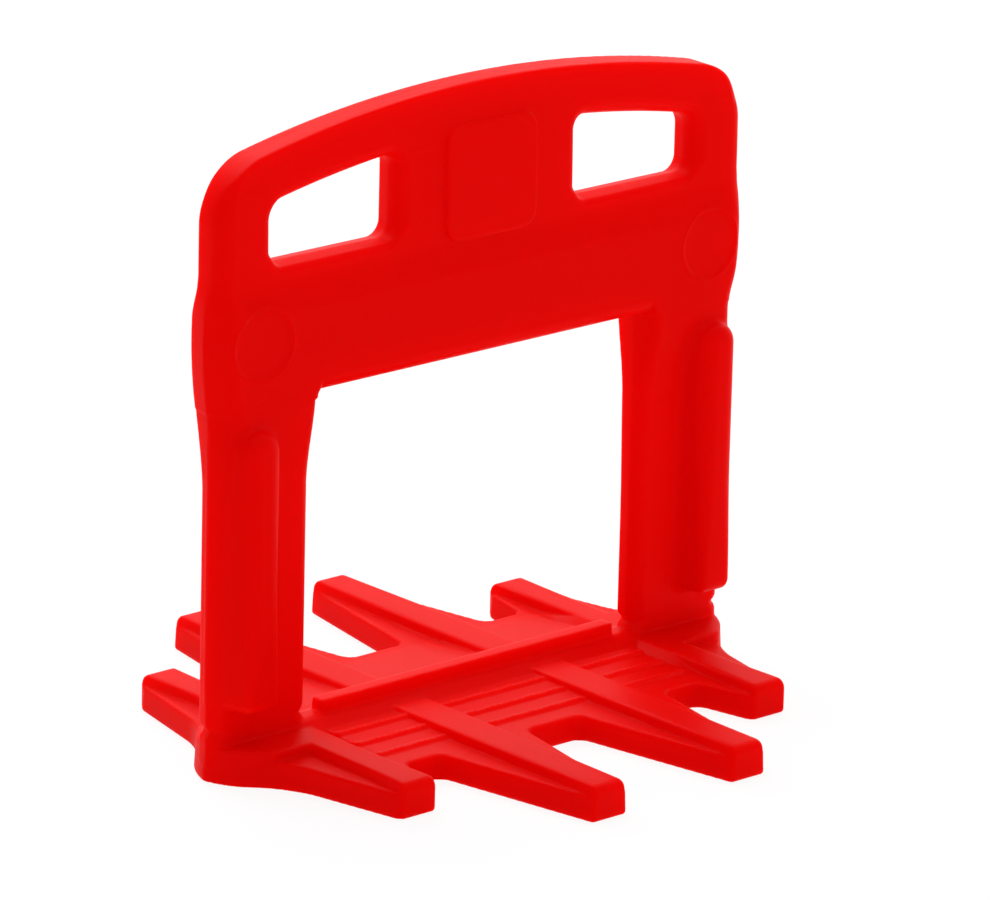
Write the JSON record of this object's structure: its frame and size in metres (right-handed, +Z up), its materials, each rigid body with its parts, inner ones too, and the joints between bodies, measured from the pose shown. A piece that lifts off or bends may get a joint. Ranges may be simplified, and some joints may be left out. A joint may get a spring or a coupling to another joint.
{
  "type": "tile levelling clip",
  "caption": "One-piece moulded tile levelling clip: a comb base that goes under the tiles, a frame for the wedge and a snap-off break line.",
  "frame": {"origin": "centre of the base's flat underside, on the screed", "axes": "+Z up through the frame, +X along the tile joint and the frame's width, +Y across the joint; the ribs on the legs face -Y"},
  "size_m": [0.0402, 0.0376, 0.0384],
  "materials": {
    "red_plastic": "satin moulded polypropylene, dyed red through"
  },
  "bodies": {
    "root": {"clip_body": "red_plastic"}
  },
  "joints": []
}
